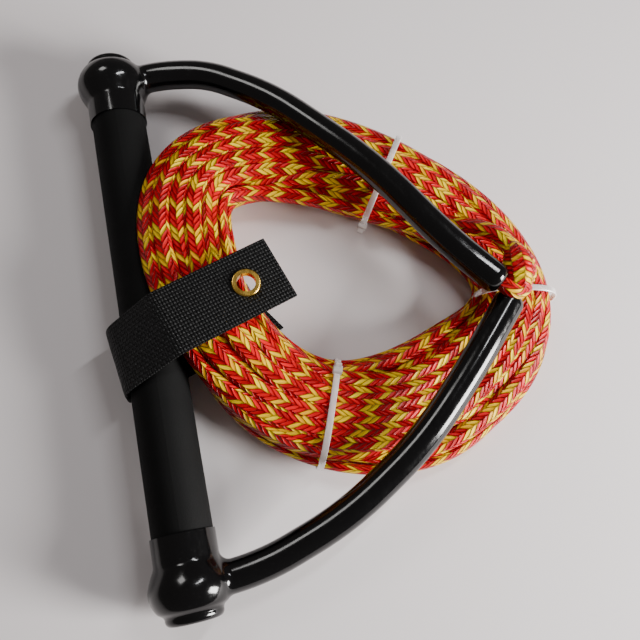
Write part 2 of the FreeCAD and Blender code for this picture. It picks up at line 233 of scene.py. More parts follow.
for title, value in (("Strand", strand), ("Column", column), ("Height", height),
                     ("Filament", hair.outputs["Fac"]), ("Chance", chance.outputs["Value"])):
    braid.links.new(value, b_out.inputs[title])
print("braid group", len(braid.nodes), "nodes")

# %% [markdown]
# In the tow line one float in four is yellow, and nearly half of those after it too, in an
# order that makes a flame-like zigzag. The rest are red. Filaments catch the light like silk,
# and the hollows between floats are darkened with painted shade. Each float has its own
# shade, from dark crimson to bright red or from amber to lemon, because no two bundles of
# filaments lie alike.


# %% Tow line finish
def rope_finish(name, float_length, slope):
    made, tree, shader = new_material(name, Specular_IOR_Level=0.6)
    uv = node(tree, "ShaderNodeSeparateXYZ", {0: node(tree, "ShaderNodeUVMap", uv_map="Braid").outputs[0]})
    weave = use_group(tree, braid, {"Round": uv.outputs[0], "Along": uv.outputs[1],
                                    "Float": float_length, "Slope": slope})
    turn = math_node(tree, "FLOORED_MODULO", weave.outputs["Strand"], 4.0)
    sure = math_node(tree, "COMPARE", turn, 2.0, 0.4)
    maybe = math_node(tree, "MULTIPLY", math_node(tree, "COMPARE", turn, 3.0, 0.4),
                      math_node(tree, "GREATER_THAN", weave.outputs["Chance"], 0.55))
    yellow = math_node(tree, "MAXIMUM", sure, maybe)
    reds = two_tones(tree, weave.outputs["Chance"], (0.36, 0.0, 0.003), (0.80, 0.0, 0.008))
    golds = two_tones(tree, weave.outputs["Chance"], (0.86, 0.36, 0.0), (1.0, 0.68, 0.0))
    dyed = mix_colour(tree, yellow, reds, golds)
    streak = remap(tree, weave.outputs["Filament"], 0.3, 0.75, 0.70, 1.12)
    # painted shade: float ends and the hollows between floats are darkened in the base colour
    painted_hollow_shade = remap(tree, weave.outputs["Height"], 0.0, 0.7, 0.34, 1.0)
    shade = math_node(tree, "MULTIPLY", streak, painted_hollow_shade)
    tree.links.new(mix_colour(tree, 1.0, dyed, greyed(tree, shade), "MULTIPLY"), shader.inputs["Base Color"])
    tree.links.new(mix_colour(tree, 0.25, dyed, (1, 1, 1, 1)), shader.inputs["Specular Tint"])
    tree.links.new(remap(tree, weave.outputs["Filament"], 0.3, 0.7, 0.42, 0.24), shader.inputs["Roughness"])
    relief = math_node(tree, "MULTIPLY_ADD", weave.outputs["Filament"], 0.35, weave.outputs["Height"])
    bumped(tree, shader, 0.0009, relief)
    return made


TOW_LINE = rope_finish("tow_line_braid", 0.0042, 1.25)
BUNCHED = rope_finish("bunched_braid", 0.0026, 1.1)
print("rope finishes", TOW_LINE.name, BUNCHED.name)

# %% [markdown]
# A rope is drawn in two steps. Its line is a smooth NURBS curve through a few control
# points. Its skin is a mesh tube whose rings stand on the points read back from
# that curve, because a curve's own bevel can't be flattened and can't carry the braid's
# UV map. A slack hollow braid pressed among its neighbours is no longer round: each ring
# is an oval that lies flat against the bundle, so each ring also has a facing direction.


# %% Rope helpers
def smooth_line(name, points, steps):
    """Points along the NURBS curve that the control points shape."""
    data = bpy.data.curves.new(name, "CURVE")
    data.dimensions = "3D"
    data.resolution_u = steps
    spline = data.splines.new("NURBS")
    spline.points.add(len(points) - 1)
    for slot, p in zip(spline.points, points):
        slot.co = (p[0], p[1], p[2], 1.0)
    spline.order_u = 3
    spline.use_endpoint_u = True
    held = bpy.data.objects.new(name, data)
    bpy.context.scene.collection.objects.link(held)
    line = bpy.data.meshes.new_from_object(held)
    read = np.array([v.co for v in line.vertices], float).reshape(-1, 3)
    bpy.data.objects.remove(held)
    bpy.data.meshes.remove(line)
    return read


def lengths_of(line):
    steps = np.linalg.norm(np.diff(line, axis=0), axis=1)
    return np.concatenate([[0.0], np.cumsum(steps)])


def unit(v):
    return v / np.maximum(np.linalg.norm(v, axis=-1, keepdims=True), 1e-12)


def swept(name, line, facing, wide, thick, sides=16, square=2.0, uv_name="Braid", metres_round=False):
    """A closed tube on line. Rings are ovals wide by thick (half sizes) whose flat side faces facing."""
    count = len(line)
    ahead = unit(np.gradient(line, axis=0))
    up = unit(facing - ahead * np.sum(facing * ahead, axis=1, keepdims=True))
    sideways = np.cross(ahead, up)
    turn = np.arange(sides) * 2 * math.pi / sides
    ca, sa = np.cos(turn), np.sin(turn)
    power = 2.0 / square
    x = np.sign(ca) * np.abs(ca) ** power
    y = np.sign(sa) * np.abs(sa) ** power
    wide = np.broadcast_to(wide, count)[:, None, None]
    thick = np.broadcast_to(thick, count)[:, None, None]
    rings = (line[:, None, :] + sideways[:, None, :] * x[None, :, None] * wide
             + up[:, None, :] * y[None, :, None] * thick)
    low = (np.arange(count - 1)[:, None] * sides + np.arange(sides)[None, :])
    nxt = (np.arange(count - 1)[:, None] * sides + (np.arange(sides)[None, :] + 1) % sides)
    quads = np.stack([low, nxt, nxt + sides, low + sides], axis=-1).reshape(-1, 4)
    faces = [tuple(q) for q in quads.tolist()]
    faces.append(tuple(range(sides - 1, -1, -1)))
    faces.append(tuple(range((count - 1) * sides, count * sides)))
    mesh = bpy.data.meshes.new(name)
    mesh.from_pydata([tuple(p) for p in rings.reshape(-1, 3).tolist()], [], faces)
    far = lengths_of(line)
    round_ = np.arange(sides + 1) / sides
    if metres_round:
        ring = rings[count // 2]
        closed = np.vstack([ring, ring[:1]])
        round_ = np.concatenate([[0.0], np.cumsum(np.linalg.norm(np.diff(closed, axis=0), axis=1))])
    k, j = np.divmod(np.arange((count - 1) * sides), sides)
    corners = ((j, k), (j + 1, k), (j + 1, k + 1), (j, k + 1))
    quad_uv = np.stack([np.stack([round_[u], far[v]], -1) for u, v in corners], axis=1)
    caps = np.zeros((2 * sides, 2))
    caps[:sides] = (0.3, far[0])
    caps[sides:] = (0.3, far[-1])
    layer = mesh.uv_layers.new(name=uv_name)
    layer.data.foreach_set("uv", np.vstack([quad_uv.reshape(-1, 2), caps]).astype(np.float32).ravel())
    mesh.polygons.foreach_set("use_smooth", [True] * len(mesh.polygons))
    mesh.update()
    made = bpy.data.objects.new(name, mesh)
    bpy.context.scene.collection.objects.link(made)
    return made


def dress(obj, material, body, stands_for=()):
    """Give a new piece its finish and its body, and hide the CAD nodes it stands for."""
    obj.data.materials.clear()
    obj.data.materials.append(material)
    if body:
        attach(obj, body)
    if stands_for:
        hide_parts(*stands_for)
    return obj


def bar_points(rows):
    """Points given in millimetres as out from the bar, along it and above the ground."""
    return np.array([(BAR_X + x / 1000, OFF_Y + y / 1000, z / 1000) for x, y, z in rows])


# %% [markdown]
# The coil is one free length of rope, 31 turns long, that lies as a low ring. Its
# bundle is known section by section: where it lies, how wide and how high it is. The turns
# could be drawn by hand, or dropped by a physics run. Here every section holds 31 points,
# one for each turn, that push each other apart and stay smooth along the rope, within the
# bundle's outline and clear of the bar, the arms and the strap. That is quick, it settles
# the same way each time, and the rope stays one unbroken length.

# %% Bundle sections
# out, along, width, height, underside (mm) and lean of the bundle, once round the ring
BUNDLE = np.array([(28, 22, 56, 46, 3, .30), (38.5, 73.5, 60, 41, 1, .15), (95, 87.5, 77, 34, -1, 0),
                   (157, 57, 62, 35, -1, 0), (204, 14, 50, 34, -1, 0), (219, -31, 47, 34, -1, 0),
                   (194.5, -65, 82, 25, -1, 0), (147, -87, 98, 23.5, -1, 0), (96, -83.5, 63, 30, -1, 0),
                   (60.5, -61.5, 63, 36, 0, .10), (37.5, -24.5, 52, 46, 3, .25)], float)
BUNDLE[:, :5] /= 1000.0
TURNS, PER_TURN = 31, 48
POWER = 2.6                                 # squareness of the bundle's section
FLAT_WIDE, FLAT_THICK = 0.0053, 0.0030      # half sizes of a turn pressed in the bundle


def bundle_at(places):
    """Centre, outward direction, half sizes and lean of the bundle at places round the ring."""
    places = np.asarray(places, float)
    low = np.floor(places).astype(int)
    t = (places - low)[:, None]
    a, b, c, d = (BUNDLE[(low + k) % len(BUNDLE)] for k in (-1, 0, 1, 2))
    row = 0.5 * (2 * b + (c - a) * t
                 + (2 * a - 5 * b + 4 * c - d) * t ** 2 + (3 * b - a - 3 * c + d) * t ** 3)
    slope = 0.5 * ((c - a) + 2 * (2 * a - 5 * b + 4 * c - d) * t + 3 * (3 * b - a - 3 * c + d) * t ** 2)
    ahead = unit(np.column_stack([slope[:, 0], slope[:, 1], np.zeros(len(row))]))
    out = np.column_stack([-ahead[:, 1], ahead[:, 0], np.zeros(len(row))])
    centre = np.column_stack([BAR_X + row[:, 0], OFF_Y + row[:, 1], row[:, 4] + row[:, 3] / 2])
    return centre, out, row[:, 2] / 2, row[:, 3] / 2, row[:, 5]


fine = np.linspace(0, len(BUNDLE), 2201)
ring_far = lengths_of(bundle_at(fine)[0])
start_place = 3.15                          # where the lead dives into the coil
ring_long = ring_far[-1]
spread = (np.interp(start_place, fine, ring_far) - np.arange(PER_TURN) * ring_long / PER_TURN) % ring_long
section_place = np.interp(spread, ring_far, fine)
centre, out, half_wide, half_high, lean_out = bundle_at(section_place)
print("ring", round(ring_long * 1000), "mm,", TURNS * PER_TURN, "control points")

# %% Obstacles that the turns lie clear of
GRIP_R, ARM_R, ROPE_R = 0.0164, 0.00875, 0.0045
UPPER_ARM = bar_points([(0, 146, 21.5), (28, 150, 23.5), (58, 142.5, 30), (94, 114, 39), (142, 52, 49.5),
                        (172, -4, 54.1), (195.6, -35.4, 55)])
LOWER_ARM = bar_points([(0, -156, 21.5), (38, -154, 24), (86, -138.5, 31.5), (132, -110.5, 38.5),
                        (168, -77.5, 43.3), (203.3, -40.6, 46.6)])
LEAD = bar_points([(211, -18.9, 50), (209, -6, 49), (199, 5, 43.5), (184, 16, 31), (174, 26, 27)])
arm_lines = [smooth_line("arm_a", UPPER_ARM, 12), smooth_line("arm_b", LOWER_ARM, 12)]
lead_line = smooth_line("lead_line", LEAD, 10)
grip_line = np.array([(BAR_X, y, BAR_Z) for y in np.arange(-0.137, 0.138, 0.002)])
STRAP_Y, STRAP_ANGLE = OFF_Y - 0.0274, math.radians(18.0)
strap_ahead = np.array([math.cos(STRAP_ANGLE), math.sin(STRAP_ANGLE), 0.0])
strap_side = np.array([-math.sin(STRAP_ANGLE), math.cos(STRAP_ANGLE), 0.0])
strap_zero = np.array([BAR_X, STRAP_Y, 0.0])


def push_out(points, line, room):
    """Move points that are nearer than room to a line straight away from it, in their own section."""
    gap = points[:, None, :] - line[None, :, :]
    far = np.linalg.norm(gap, axis=2)
    near = far.argmin(axis=1)
    rows = np.arange(len(points))
    short = np.maximum(room - far[rows, near], 0.0)
    return unit(gap[rows, near]) * short[:, None]


print("obstacles", len(arm_lines), "arms, the bar, the lead and the strap")

# %% Settle the turns in their sections
rng = np.random.default_rng(7)
rings_of_slots = [(15, 0.98), (10, 0.62), (5, 0.28), (1, 0.0)]
slots = []
for many, share in rings_of_slots:
    for n in range(many):
        a = math.radians(140) - 2 * math.pi * n / many
        slots.append((share * math.cos(a), share * math.sin(a)))
slots = np.array(slots)
for here, there in ((2, 4), (6, 8), (10, 17), (13, 20), (1, 23)):   # a few turns cross their neighbours
    slots[[here, there]] = slots[[there, here]]
total = TURNS * PER_TURN
k_of = np.arange(total) % PER_TURN
i_of = np.arange(total) // PER_TURN
part_way = (k_of / PER_TURN)[:, None]
after = slots[np.minimum(i_of + 1, TURNS - 1)]
flat = slots[i_of] * (1 - part_way) + after * part_way
room_w = (half_wide - FLAT_THICK - 0.0001)[k_of]
room_h = (half_high - FLAT_THICK - 0.0001)[k_of]
turn_lean = lean_out[k_of]
spots = flat * np.column_stack([room_w, room_h])
walk = np.arange(total) / PER_TURN * ring_long
for _ in range(7):
    wave = rng.uniform(0.22, 0.75)
    for axis in (0, 1):
        drift = rng.uniform(1.2, 2.6) / 1000
        spots[:, axis] += drift * np.sin(2 * math.pi * walk / wave + rng.uniform(0, 6.28))
along_c, out_c = centre[k_of], out[k_of]
rise_v = np.array([0.0, 0.0, 1.0])
pairs = np.triu_indices(TURNS, 1)


def in_space(p):
    return along_c + out_c * (p[:, 0] + turn_lean * p[:, 1])[:, None] + rise_v * p[:, 1:2]


def flat_facing(p):
    """Which way a turn's flat side faces: square to the bundle's outline."""
    g = np.column_stack([np.sign(p[:, 0]) * (np.abs(p[:, 0]) / room_w + 0.02) ** 1.6 / room_w,
                         np.sign(p[:, 1]) * (np.abs(p[:, 1]) / room_h + 0.02) ** 1.6 / room_h])
    return unit(g)


for step in range(260):
    grid = spots.reshape(TURNS, PER_TURN, 2)
    face = flat_facing(spots).reshape(TURNS, PER_TURN, 2)
    gap = grid[pairs[0]] - grid[pairs[1]]
    one, other = face[pairs[0]], face[pairs[1]]
    n = unit(one + other * np.sign(np.sum(one * other, -1, keepdims=True) + 1e-9))
    t = np.stack([-n[..., 1], n[..., 0]], -1)
    gn = np.sum(gap * n, -1) / (2 * FLAT_THICK)
    gt = np.sum(gap * t, -1) / (2 * FLAT_WIDE)
    near = np.sqrt(gn ** 2 + gt ** 2) + 1e-6
    short = np.maximum(1.0 - near, 0.0)
    push = (n * (gn / near)[..., None] * FLAT_THICK * 2
            + t * (gt / near)[..., None] * FLAT_WIDE * 1.2) * short[..., None] * 0.30
    move = np.zeros_like(grid)
    np.add.at(move, pairs[0], push)
    np.add.at(move, pairs[1], -push)
    spots = (grid + move).reshape(-1, 2)
    smooth = 0.5 if step < 230 else 0.25
    middle = spots.copy()
    middle[1:-1] = (spots[:-2] + spots[2:]) / 2
    spots += smooth * (middle - spots)
    here = in_space(spots)
    shove = push_out(here, grip_line, GRIP_R + FLAT_THICK + 0.0004)
    if step % 2 == 0:
        for line in arm_lines:
            shove += push_out(here, line, ARM_R + FLAT_THICK + 0.0006)
        later = slice(PER_TURN // 2, None)      # the first half turn is what the lead runs into
        shove[later] += push_out(here[later], lead_line, ROPE_R + FLAT_THICK)
    s = (here - strap_zero) @ strap_ahead
    w = (here - strap_zero) @ strap_side
    under = (np.abs(w) < 0.0215) & (s > -0.03) & (s < 0.082)
    low_limit = np.where(under, 0.0066, FLAT_THICK + 0.0002)
    high_limit = np.where(under, 0.0462, 1.0)
    spots[:, 0] += np.sum(shove * out_c, 1)
    spots[:, 1] += shove[:, 2]
    z = along_c[:, 2] + spots[:, 1]
    spots[:, 1] += np.clip(z, low_limit, high_limit) - z
    f = (np.abs(spots[:, 0]) / room_w) ** POWER + (np.abs(spots[:, 1]) / room_h) ** POWER
    spots *= (np.maximum(f, 1.0) ** (-1 / POWER))[:, None]
turns_points = in_space(spots)
middles = turns_points.reshape(TURNS, PER_TURN, 3).mean(axis=0)
for _ in range(8):                          # ease the corners, because this line doesn't bend sharply
    turns_points[1:-1] = turns_points[1:-1] / 2 + (turns_points[:-2] + turns_points[2:]) / 4
lost = middles - turns_points.reshape(TURNS, PER_TURN, 3).mean(axis=0)
for _ in range(4):                          # and give the bundle as a whole its place back
    lost = lost / 2 + (np.roll(lost, 1, axis=0) + np.roll(lost, -1, axis=0)) / 4
turns_points += lost[k_of]
turns_points[:, 2] = np.maximum(turns_points[:, 2], FLAT_THICK + 0.0004)
facing_2d = flat_facing(spots)
turns_facing = out_c * facing_2d[:, :1] + rise_v * facing_2d[:, 1:]
print("settled", total, "points, rope", round(lengths_of(turns_points)[-1], 2), "m")

# %% Tow line: coil and lead
coil_points = np.vstack([LEAD[-1:], turns_points])
coil_line = smooth_line("coil_line", coil_points, 4)


def facing_along(line, points, facings):
    """Facing directions of the control points carried over to the finer line and smoothed."""
    share = lengths_of(line) / lengths_of(line)[-1]
    given = lengths_of(points) / lengths_of(points)[-1]
    faced = np.column_stack([np.interp(share, given, facings[:, c]) for c in range(3)])
    kernel = np.hanning(23) / np.hanning(23).sum()
    padded = np.pad(faced, ((11, 11), (0, 0)), mode="edge")
    return np.column_stack([np.convolve(padded[:, c], kernel, "valid") for c in range(3)])


coil_facing = facing_along(coil_line, coil_points, np.vstack([turns_facing[:1], turns_facing]))
far = lengths_of(coil_line)
breath = 1 + 0.05 * np.sin(far * 61 + 1.3) * np.sin(far * 17)
coil = swept("tow_line_coil", coil_line, coil_facing, FLAT_WIDE * breath, FLAT_THICK * (2 - breath), sides=16)
dress(coil, TOW_LINE, "bundle", ["rope_coil"])

lead_facing = np.tile([0.0, 0.0, 1.0], (len(lead_line), 1))
lead = swept("tow_line_lead", lead_line, lead_facing, 0.0050, 0.0038, sides=20)
dress(lead, TOW_LINE, None, ["rope_lead"])
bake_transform(lead)

# %% Splice and bridle
SPLICE = bar_points([(211.5, -26, 50)])[0]
UPPER_LEG = np.vstack([UPPER_ARM, bar_points([(199.5, -40, 55), (204.5, -41.5, 53), (210, -38, 51.5)])])
LOWER_LEG = np.vstack([LOWER_ARM, bar_points([(208.2, -35.2, 47.9), (211, -30, 49.1)])])
for name, points in (("bridle_upper", UPPER_LEG), ("bridle_lower", LOWER_LEG)):
    line = smooth_line(name + "_line", points, 10)
    leg = swept(name + "_rope", line, np.tile([0.0, 0.0, 1.0], (len(line), 1)), 0.0045, 0.0044, sides=16)
    dress(leg, TOW_LINE, "yoke", [name])
KNOT = [(-5, -15, 2.4), (-5, -11, 3.4), (-3.5, -5, 4.4), (-2.5, 1, 4.2), (-1.5, 8, 2.6), (-0.5, 14, 0.4)]
knot_line = smooth_line("splice_line", [SPLICE + np.array(p) / 1000 for p in KNOT], 10)
swell = np.sin(np.linspace(0, math.pi, len(knot_line))) ** 0.6
pleat = 1 + 0.05 * np.sin(lengths_of(knot_line) * 2 * math.pi / 0.0027)
splice = swept("apex_splice_braid", knot_line, np.tile([0.0, 0.0, 1.0], (len(knot_line), 1)),
               (0.0036 + 0.0056 * swell) * pleat, (0.0034 + 0.0040 * swell) * pleat, sides=28)
dress(splice, BUNCHED, "yoke", ["apex_splice"])
print("splice", [round(float(v), 4) for v in SPLICE])

# %% [markdown]
# Each cable tie is a thin nylon band round the bundle, drawn from the same outline as the
# turns, so that it lies on them. Its head is a small bevelled box with the cut end of the
# band standing out of it. The hidden end of the tow line has a short shrunk-on sleeve.


# %% Ties and the line's end
BAND_WIDE, BAND_THICK = 0.00185, 0.0006     # half sizes of a tie's band
# size of a tie's head and of its cut tail, how far ahead and how high it stands, its bevel
HEAD_AND_TAIL = [((0.0046, 0.0056, 0.0040), 0.0, 0.0, 0.0004),
                 ((0.0011, 0.0035, 0.0036), 0.0003, 0.0030, 0.0001)]
SLEEVE_LONG, SLEEVE_TAPER = 0.022, 0.0015


def outline(place, turn, off):
    """A point off the bundle's outline."""
    mid, outward, half_w, half_h, lean = (v[0] for v in bundle_at([place]))
    c, s_ = math.cos(turn), math.sin(turn)
    x = math.copysign(abs(c) ** (2 / POWER), c) * (half_w + off)
    y = math.copysign(abs(s_) ** (2 / POWER), s_) * (half_h + off)
    point = mid + outward * (x + lean * y) + np.array([0, 0, y])
    point[2] = max(point[2], 0.0008)
    return point


def cable_tie(name, place, head_turn):
    """A band once round the bundle, with its head at head_turn degrees round the section."""
    head_turn = math.radians(head_turn)
    turns = head_turn + np.linspace(0.03, 2 * math.pi - 0.03, 97)
    line = np.array([outline(place, a, BAND_THICK + 0.0002) for a in turns])
    middle = bundle_at([place])[0][0]
    band = swept(name + "_band", line, line - middle, BAND_WIDE, BAND_THICK, sides=12, square=5.0,
                 uv_name="Band")
    head_at = outline(place, head_turn, 0.0020)
    up = unit(outline(place, head_turn, 0.01) - outline(place, head_turn, 0.0))
    forward = unit(line[1] - line[-2])
    side_ways = np.cross(up, forward)
    square_to_both = np.cross(forward, side_ways)
    axes = Matrix([Vector(v) for v in (forward, side_ways, square_to_both)]).transposed().to_4x4()
    bm = bmesh.new()
    for size, ahead, rise, edge in HEAD_AND_TAIL:
        place_at = Matrix.Translation(Vector(head_at + up * rise + forward * ahead)) @ axes
        cube = bmesh.ops.create_cube(bm, size=1.0, matrix=place_at @ Matrix.Diagonal((*size, 1)))
        edges = {e for v in cube["verts"] for e in v.link_edges}
        bmesh.ops.bevel(bm, geom=list(edges), offset=edge, segments=2, affect="EDGES")
    bm.from_mesh(band.data)
    bm.to_mesh(band.data)
    bm.free()
    band.name = name + "_nylon"
    return band


tie_places = {"tie_top": (2.97, 185), "tie_right": (5.05, 215), "tie_bottom": (8.15, 128)}
tie_bands = {name: cable_tie(name, *where) for name, where in tie_places.items()}
tail_line = coil_line[-30:]
tail_far = lengths_of(tail_line)
tail_line = tail_line[tail_far > tail_far[-1] - SLEEVE_LONG]
tail_line = np.vstack([tail_line, tail_line[-1] + unit(tail_line[-1] - tail_line[-2]) * 0.002])
tail_far = lengths_of(tail_line)
closing = np.clip(np.minimum(tail_far, tail_far[-1] - tail_far) / SLEEVE_TAPER, 0.35, 1.0)
sleeve = swept("line_end_sleeve", tail_line, np.tile(turns_facing[-1], (len(tail_line), 1)),
               0.0055 * closing, 0.0034 * closing, sides=20)
print("ties", sorted(tie_bands), "and the end sleeve")

# %% [markdown]
# The strap is a flat length of plain-woven webbing. It goes over the coil, round the bar
# and back beneath the coil, and its free end carries a brass eyelet. Webbing is stiff and
# flat, so it is swept along its own line of straight runs and bends, with thin rounded
# selvedges. Its weave is a node group on the strap's UV map, which is in metres both ways,
# so that the threads keep their real size round every bend.

# %% Webbing weave group
weave_group, w_in, w_out = new_group("plain_weave", {"Across": 0.0, "Along": 0.0, "Pitch": 0.0021},
                                     ["Height", "Thread", "Chance"])
u_count = math_node(weave_group, "DIVIDE", w_in.outputs["Across"], w_in.outputs["Pitch"])
v_pitch = math_node(weave_group, "MULTIPLY", w_in.outputs["Pitch"], 0.8)
v_count = math_node(weave_group, "DIVIDE", w_in.outputs["Along"], v_pitch)
wave_u = math_node(weave_group, "SINE", math_node(weave_group, "MULTIPLY", u_count, math.pi))
wave_v = math_node(weave_group, "SINE", math_node(weave_group, "MULTIPLY", v_count, math.pi))
over = math_node(weave_group, "MULTIPLY", wave_u, wave_v)
hump = math_node(weave_group, "POWER", math_node(weave_group, "ABSOLUTE", over), 0.7)
top_side = math_node(weave_group, "GREATER_THAN", over, 0.0)
lift = math_node(weave_group, "MULTIPLY_ADD", top_side, 0.55, 0.45)
w_height = math_node(weave_group, "MULTIPLY", hump, lift)
u_fine = math_node(weave_group, "MULTIPLY", u_count, 9.0)
v_fine = math_node(weave_group, "MULTIPLY", v_count, 1.6)
fine_spot = node(weave_group, "ShaderNodeCombineXYZ", {0: u_fine, 1: v_fine}).outputs[0]
fibre = node(weave_group, "ShaderNodeTexNoise", {"Vector": fine_spot, "Scale": 1.0, "Detail": 2.0})
cell = node(weave_group, "ShaderNodeCombineXYZ", {0: math_node(weave_group, "FLOOR", u_count),
                                                  1: math_node(weave_group, "FLOOR", v_count)}).outputs[0]
luck = node(weave_group, "ShaderNodeTexWhiteNoise", {"Vector": cell}, noise_dimensions="2D")
weave_group.links.new(w_height, w_out.inputs["Height"])
weave_group.links.new(fibre.outputs["Fac"], w_out.inputs["Thread"])
weave_group.links.new(luck.outputs["Value"], w_out.inputs["Chance"])

WEBBING, web_tree, web_shader = new_material("strap_webbing", Specular_IOR_Level=0.22)
web_map = node(web_tree, "ShaderNodeUVMap", uv_map="Weave").outputs[0]
web_uv = node(web_tree, "ShaderNodeSeparateXYZ", {0: web_map})
web = use_group(web_tree, weave_group, {"Across": web_uv.outputs[0], "Along": web_uv.outputs[1]})
# painted shade: the low parts of the weave, between the threads, are darker in the base colour
web_painted_weave_shade = two_tones(web_tree, web.outputs["Height"], (0.0002, 0.0002, 0.0002), (0.009, 0.009, 0.0095))
web_grey = greyed(web_tree, remap(web_tree, web.outputs["Chance"], 0.0, 1.0, 0.6, 1.4))
web_colour = mix_colour(web_tree, 1.0, web_painted_weave_shade, web_grey, "MULTIPLY")
web_tree.links.new(web_colour, web_shader.inputs["Base Color"])
web_gloss = remap(web_tree, web.outputs["Thread"], 0.3, 0.7, 0.62, 0.42)
web_tree.links.new(web_gloss, web_shader.inputs["Roughness"])
web_relief = math_node(web_tree, "MULTIPLY_ADD", web.outputs["Thread"], 0.25, web.outputs["Height"])
bumped(web_tree, web_shader, 0.0009, web_relief)
print("webbing finish", len(web_tree.nodes), "nodes")


# %% Strap
def strap_point(s, w, z):
    return strap_zero + strap_ahead * s + strap_side * w + np.array([0, 0, z])


def bend_points(corner, before, after, radius, count):
    """Points of a tangent bend at a corner of the strap's side view."""
    corner, before, after = (np.array(p, float) for p in (corner, before, after))
    into, out_of = unit(corner - before), unit(after - corner)
    turn = math.acos(float(np.clip(into @ out_of, -1, 1)))
    start = corner - into * radius * math.tan(turn / 2)
    side_way = unit(out_of - into * (out_of @ into))
    hub = start + side_way * radius
    angles = np.linspace(0, turn, count)
    return [hub - side_way * radius * math.cos(a) + into * radius * math.sin(a) for a in angles]


TOP, LOW = 0.0516, 0.0010
side_view = [np.array((s, TOP)) for s in np.arange(0.079, 0.0125, -0.0015)]
corners = [(0.079, TOP), (0.010, TOP), (-0.0254, 0.032), (-0.0254, LOW), (0.074, LOW)]
for k, radius, count in ((1, 0.012, 7), (2, 0.013, 9), (3, 0.013, 17)):
    side_view += bend_points(corners[k], corners[k - 1], corners[k + 1], radius, count)
side_view += [np.array((s, LOW)) for s in np.arange(-0.010, 0.0811, 0.003)]
side_view = np.array(side_view)
keep = np.concatenate([[True], np.linalg.norm(np.diff(side_view, axis=0), axis=1) > 0.0004])
side_view = side_view[keep]
strap_line = np.array([strap_point(s, 0, z) for s, z in side_view])
ahead_2d = unit(np.gradient(side_view, axis=0))
strap_facing = strap_ahead * ahead_2d[:, 1:] + np.array([0, 0, 1.0]) * -ahead_2d[:, :1]
strap = swept("strap_webbing_band", strap_line, strap_facing, 0.019, 0.00098, sides=56, square=9.0,
              uv_name="Weave", metres_round=True)

# %% Strap ends and the hole for the eyelet
for v in strap.data.vertices:            # the bends follow the bar round, not the strap's own square
    p = np.array(v.co) - strap_zero
    s_here, w_here = float(p @ strap_ahead), float(p @ strap_side)
    share = min(max((0.014 - s_here) / 0.036, 0.0), 1.0)
    share = share * share * (3 - 2 * share)
    v.co += Vector(strap_ahead * (0.0038 + 0.17 * w_here) * share)
bm = bmesh.new()
bm.from_mesh(strap.data)
cut = strap_point(0.069, 0, 0)
across_end = math.radians(18.0 + 15.5)
normal = Vector((math.cos(across_end), math.sin(across_end), 0))
low_part = [g for g in bm.faces if g.calc_center_median().z < 0.004]
edges = {e for f in low_part for e in f.edges}
verts = {v for f in low_part for v in f.verts}
bmesh.ops.bisect_plane(bm, geom=list(verts) + list(edges) + low_part, plane_co=Vector(cut),
                       plane_no=normal, clear_outer=True)
open_edges = [e for e in bm.edges if e.is_boundary]
bmesh.ops.holes_fill(bm, edges=open_edges, sides=0)
bm.to_mesh(strap.data)
bm.free()
punch_mesh = bpy.data.meshes.new("punch")
bm = bmesh.new()
bmesh.ops.create_cone(bm, cap_ends=True, segments=48, radius1=0.0059, radius2=0.0059, depth=0.01,
                      matrix=Matrix.Translation(strap_point(0.058, 0, TOP)))
bm.to_mesh(punch_mesh)
bm.free()
punch = bpy.data.objects.new("punch", punch_mesh)
bpy.context.scene.collection.objects.link(punch)
hole = strap.modifiers.new("hole", "BOOLEAN")
hole.object = punch
hole.solver = "EXACT"
bpy.context.view_layer.update()
cut_mesh = bpy.data.meshes.new_from_object(strap.evaluated_get(bpy.context.evaluated_depsgraph_get()))
strap.modifiers.clear()
strap.data = cut_mesh
bpy.data.objects.remove(punch)
dress(strap, WEBBING, None, ["strap_web", "strap_flap"])
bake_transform(strap)
print("strap faces", len(strap.data.polygons))

# %% [markdown]
# The rigid parts keep their CAD shapes and only get finishes. The arms and end caps are
# glossy mouldings in black plastic: near black, smooth, with faint flow ripples, fine
# scuffs and dust. The grip is a matt black foam tube. The eyelet is pressed brass.


# %% Wear group
wear, r_in, r_out = new_group("scuffs_and_dust", {"Place": None, "Scale": 40.0}, ["Scuff", "Dust", "Ripple"])
scuff_spot = node(wear, "ShaderNodeMapping", {"Vector": r_in.outputs["Place"], "Scale": (1.0, 0.25, 1.0)})
scuff = node(wear, "ShaderNodeTexNoise", {"Vector": scuff_spot.outputs[0], "Scale": 260.0,
                                          "Detail": 5.0, "Roughness": 0.7})
dust = node(wear, "ShaderNodeTexNoise", {"Vector": r_in.outputs["Place"], "Scale": 900.0, "Detail": 2.0})
ripple = node(wear, "ShaderNodeTexNoise", {"Vector": r_in.outputs["Place"], "Scale": r_in.outputs["Scale"],
                                           "Detail": 2.0})
for title, made in (("Scuff", scuff), ("Dust", dust), ("Ripple", ripple)):
    wear.links.new(made.outputs["Fac"], r_out.inputs[title])


# %% Rigid finishes
def moulded(name, dark, pale, rough, bump_size, **constants):
    made, tree, shader = new_material(name, **constants)
    here = node(tree, "ShaderNodeTexCoord").outputs["Object"]
    worn = use_group(tree, wear, {"Place": here, "Scale": 45.0})
    specks = remap(tree, worn.outputs["Dust"], 0.66, 0.74, 0.0, 0.6)
    tree.links.new(mix_colour(tree, specks, dark, pale), shader.inputs["Base Color"])
    gloss = remap(tree, worn.outputs["Scuff"], 0.35, 0.7, rough[0], rough[1])
    tree.links.new(gloss, shader.inputs["Roughness"])
    relief = math_node(tree, "MULTIPLY_ADD", worn.outputs["Scuff"], 0.02, worn.outputs["Ripple"])
    bumped(tree, shader, bump_size, relief, 0.35)
    return made


